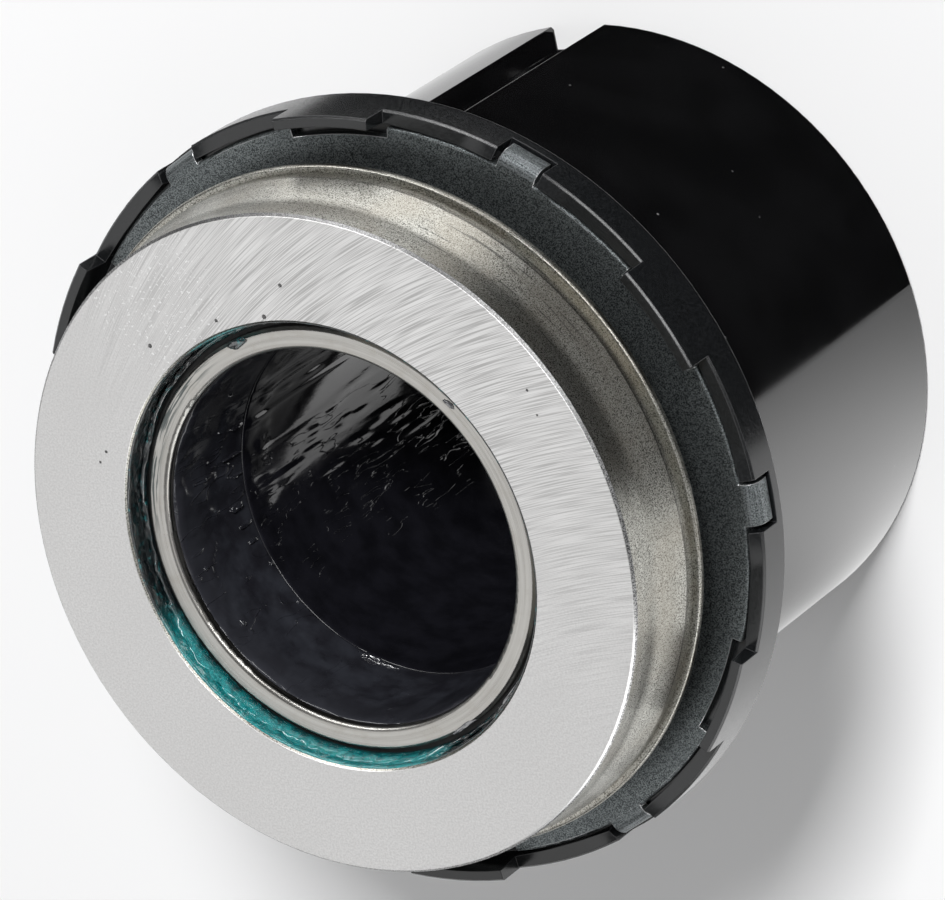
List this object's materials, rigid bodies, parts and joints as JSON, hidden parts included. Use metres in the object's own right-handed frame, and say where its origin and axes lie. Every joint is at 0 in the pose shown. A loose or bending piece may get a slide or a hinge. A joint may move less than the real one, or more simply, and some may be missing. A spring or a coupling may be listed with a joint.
{
  "type": "clutch release bearing",
  "caption": "Self-centring clutch release bearing: a flat steel thrust ring on balls, clipped by a tabbed plate to a flanged black sleeve that slides on a guide tube.",
  "frame": {"origin": "centre of the sleeve's rear end, where the part stands", "axes": "+Z along the bearing's axis towards the thrust face, +X through the middle of one retainer tab"},
  "size_m": [0.0775, 0.0776, 0.06],
  "materials": {
    "moulded_black": "moulded, glossy",
    "black_plate": "matte black phosphate",
    "ground_steel": "ground face, turned side",
    "ring_steel": "ground lip, greased bore",
    "ball_steel": "polished",
    "cage_steel": "pressed sheet",
    "spring_steel": "rolled strip",
    "seal_rubber": "smooth",
    "grease": "wet bearing grease"
  },
  "bodies": {
    "carrier": {"sleeve": "moulded_black", "retainer_plate": "black_plate"},
    "spring": {"wave_spring": "spring_steel"},
    "inner": {"inner_ring": "ring_steel", "front_shield": "seal_rubber"},
    "thrust": {"thrust_ring": "ground_steel", "rear_seal": "seal_rubber"},
    "cage": {"ball_cage": "cage_steel", "ball_1": "ball_steel", "ball_2": "ball_steel", "ball_3": "ball_steel", "ball_4": "ball_steel", "ball_5": "ball_steel", "ball_6": "ball_steel", "ball_7": "ball_steel", "ball_8": "ball_steel", "ball_9": "ball_steel", "ball_10": "ball_steel", "ball_11": "ball_steel", "ball_12": "ball_steel", "ball_13": "ball_steel", "ball_14": "ball_steel", "ball_15": "ball_steel", "ball_16": "ball_steel"}
  },
  "joints": [
    {"name": "centring_x", "type": "slide", "parent": "carrier", "child": "spring", "axis": [1, 0, 0], "range_m": [-0.00035, 0.00035]},
    {"name": "centring_y", "type": "slide", "parent": "spring", "child": "inner", "axis": [0, 1, 0], "range_m": [-0.00035, 0.00035]},
    {"name": "thrust_spin", "type": "hinge", "parent": "inner", "child": "thrust", "pos_m": [0, 0, 0.054], "axis": [0, 0, 1], "continuous": true},
    {"name": "cage_spin", "type": "hinge", "parent": "inner", "child": "cage", "pos_m": [0, 0, 0.054], "axis": [0, 0, 1], "continuous": true}
  ],
  "couplings": [
    {"joint": "cage_spin", "follows": "thrust_spin", "ratio": 0.542}
  ]
}
